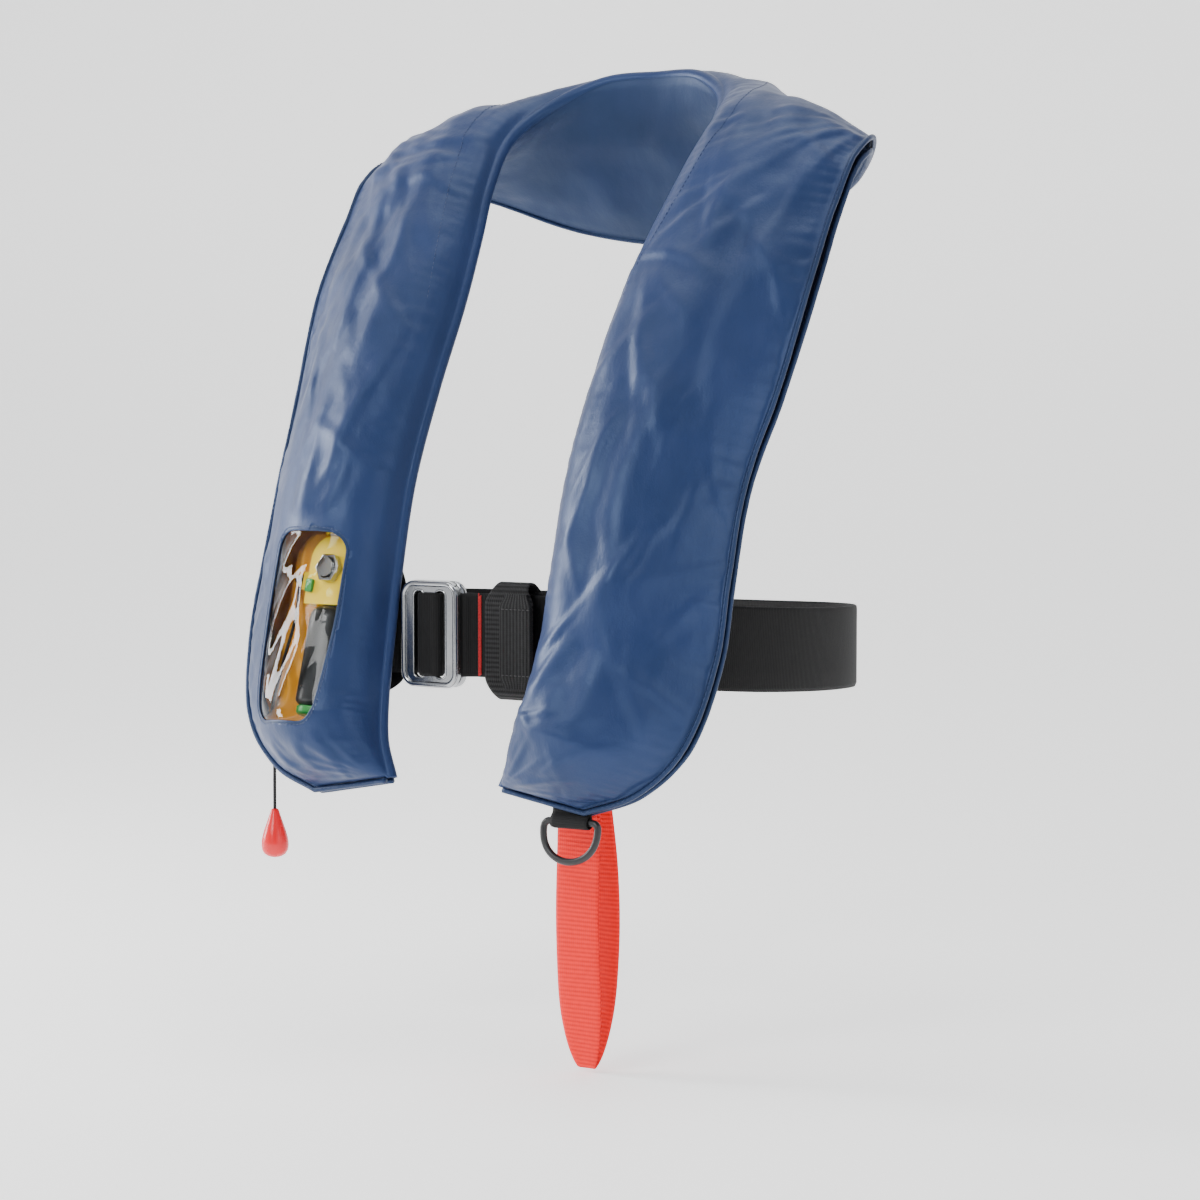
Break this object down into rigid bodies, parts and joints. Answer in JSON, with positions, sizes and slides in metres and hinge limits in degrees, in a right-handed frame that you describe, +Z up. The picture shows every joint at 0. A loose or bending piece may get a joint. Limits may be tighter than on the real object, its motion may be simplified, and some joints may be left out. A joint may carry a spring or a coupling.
{
  "type": "inflatable life jacket",
  "caption": "Yoke-shaped inflatable life jacket with a windowed gas inflator, waist belt with a two-part buckle, harness loop, D-ring, crotch strap and pull toggle.",
  "frame": {"origin": "Centre of the bottom of the whole part's box; the bottom is the lower end of the crotch strap.", "axes": "+Z up as worn, -Y towards the wearer's front, +X towards the wearer's left"},
  "size_m": [0.3672, 0.3176, 0.6],
  "materials": {
    "navy_nylon": "satin",
    "black_webbing": "matt",
    "red_webbing": "matt",
    "orange_chamber": "satin",
    "clear_vinyl": "gloss",
    "steel": "polished",
    "yellow_plastic": "gloss",
    "black_plastic": "matt",
    "grey_paint": "satin",
    "green_plastic": "satin",
    "red_plastic": "gloss",
    "white_plastic": "matt",
    "black_rubber": "matt"
  },
  "bodies": {
    "harness": {"valve_stem": "steel", "stem_gasket": "black_rubber", "inflator_body": "yellow_plastic", "retaining_nut": "steel", "lever_pin": "steel", "indicator_clip": "green_plastic", "water_element": "white_plastic", "sensor_spring": "steel", "oral_tube": "black_plastic", "whistle": "white_plastic", "whistle_cord": "black_webbing", "front_cover": "navy_nylon", "back_cover": "navy_nylon", "window_pane": "clear_vinyl", "window_binding": "navy_nylon", "bladder": "orange_chamber", "collar_facing": "navy_nylon", "front_piping": "navy_nylon", "back_piping": "navy_nylon", "pull_cord": "black_webbing", "waist_belt": "black_webbing", "buckle_ring": "steel", "stitch_bar_right": "red_webbing", "stitch_bar_left": "red_webbing", "d_ring_tab": "black_webbing", "strap_link": "black_plastic", "strap_anchor": "red_webbing", "back_strap": "black_webbing", "belt_keeper_left": "black_webbing", "belt_keeper_right": "black_webbing"},
    "buckle_plate": {"buckle_plate": "steel"},
    "harness_loop": {"harness_loop": "black_webbing", "loop_keeper": "black_webbing"},
    "d_ring": {"d_ring": "black_plastic"},
    "crotch_strap": {"crotch_strap": "red_webbing"},
    "pull_cord_end": {"toggle_cord": "black_webbing"},
    "pull_toggle": {"pull_toggle": "red_plastic"},
    "pull_lever": {"pull_lever": "black_plastic"},
    "firing_pin": {"firing_pin": "steel"},
    "sensor_cap": {"sensor_cap": "yellow_plastic"},
    "gas_cylinder": {"gas_cylinder": "grey_paint", "cylinder_foot": "green_plastic"},
    "oral_cap": {"oral_cap": "black_plastic"},
    "oral_valve": {"oral_valve": "red_plastic"},
    "strap_slider": {"strap_slider": "black_plastic"}
  },
  "joints": [
    {"name": "buckle_plate_tilt", "type": "hinge", "parent": "harness", "child": "buckle_plate", "pos_m": [-0.03399, -0.09831, 0.2519], "axis": [0, 0, 1], "range_deg": [-4, 2.5]},
    {"name": "harness_loop_slide", "type": "slide", "parent": "harness", "child": "harness_loop", "axis": [1, 0, 0], "range_m": [-0.006, 0.003]},
    {"name": "d_ring_swing", "type": "hinge", "parent": "harness", "child": "d_ring", "pos_m": [0.08803, -0.12805, 0.15081], "axis": [0.998, 0.0625, 0], "range_deg": [-90, 25]},
    {"name": "crotch_strap_swing", "type": "hinge", "parent": "harness", "child": "crotch_strap", "pos_m": [0.07601, -0.09771, 0.1799], "axis": [1, 0, 0], "range_deg": [-4, 45]},
    {"name": "pull_cord_slide", "type": "slide", "parent": "harness", "child": "pull_cord_end", "axis": [0, 0, -1], "range_m": [0, 0.0139], "deforming": ["pull_cord"]},
    {"name": "pull_toggle_swing", "type": "hinge", "parent": "pull_cord_end", "child": "pull_toggle", "pos_m": [-0.13699, -0.12121, 0.14223], "axis": [1, 0, 0], "range_deg": [-25, 25]},
    {"name": "pull_lever_turn", "type": "hinge", "parent": "harness", "child": "pull_lever", "pos_m": [-0.11472, -0.10964, 0.28075], "axis": [-0.0616, -0.9634, 0.2609], "range_deg": [0, 60]},
    {"name": "firing_pin_slide", "type": "slide", "parent": "harness", "child": "firing_pin", "axis": [-0.0166, -0.2604, -0.9654], "range_m": [0, 0.0024]},
    {"name": "sensor_cap_turn", "type": "hinge", "parent": "harness", "child": "sensor_cap", "pos_m": [-0.09194, -0.10593, 0.3094], "axis": [0.0166, 0.2604, 0.9654], "continuous": true},
    {"name": "gas_cylinder_turn", "type": "hinge", "parent": "harness", "child": "gas_cylinder", "pos_m": [-0.09294, -0.12155, 0.25148], "axis": [0.0166, 0.2604, 0.9654], "continuous": true},
    {"name": "oral_cap_slide", "type": "slide", "parent": "harness", "child": "oral_cap", "axis": [-0.0298, 0.2732, 0.9615], "range_m": [0, 0.008]},
    {"name": "oral_valve_push", "type": "slide", "parent": "harness", "child": "oral_valve", "axis": [0.0298, -0.2732, -0.9615], "range_m": [0, 0.003]},
    {"name": "strap_slider_slide", "type": "slide", "parent": "harness", "child": "strap_slider", "axis": [0, 0.0195, 0.9998], "range_m": [-0.055, 0.055]}
  ],
  "couplings": [
    {"joint": "pull_lever_turn", "follows": "pull_cord_slide", "rad_per_m": 75},
    {"joint": "firing_pin_slide", "follows": "pull_cord_slide", "ratio": 0.171}
  ]
}
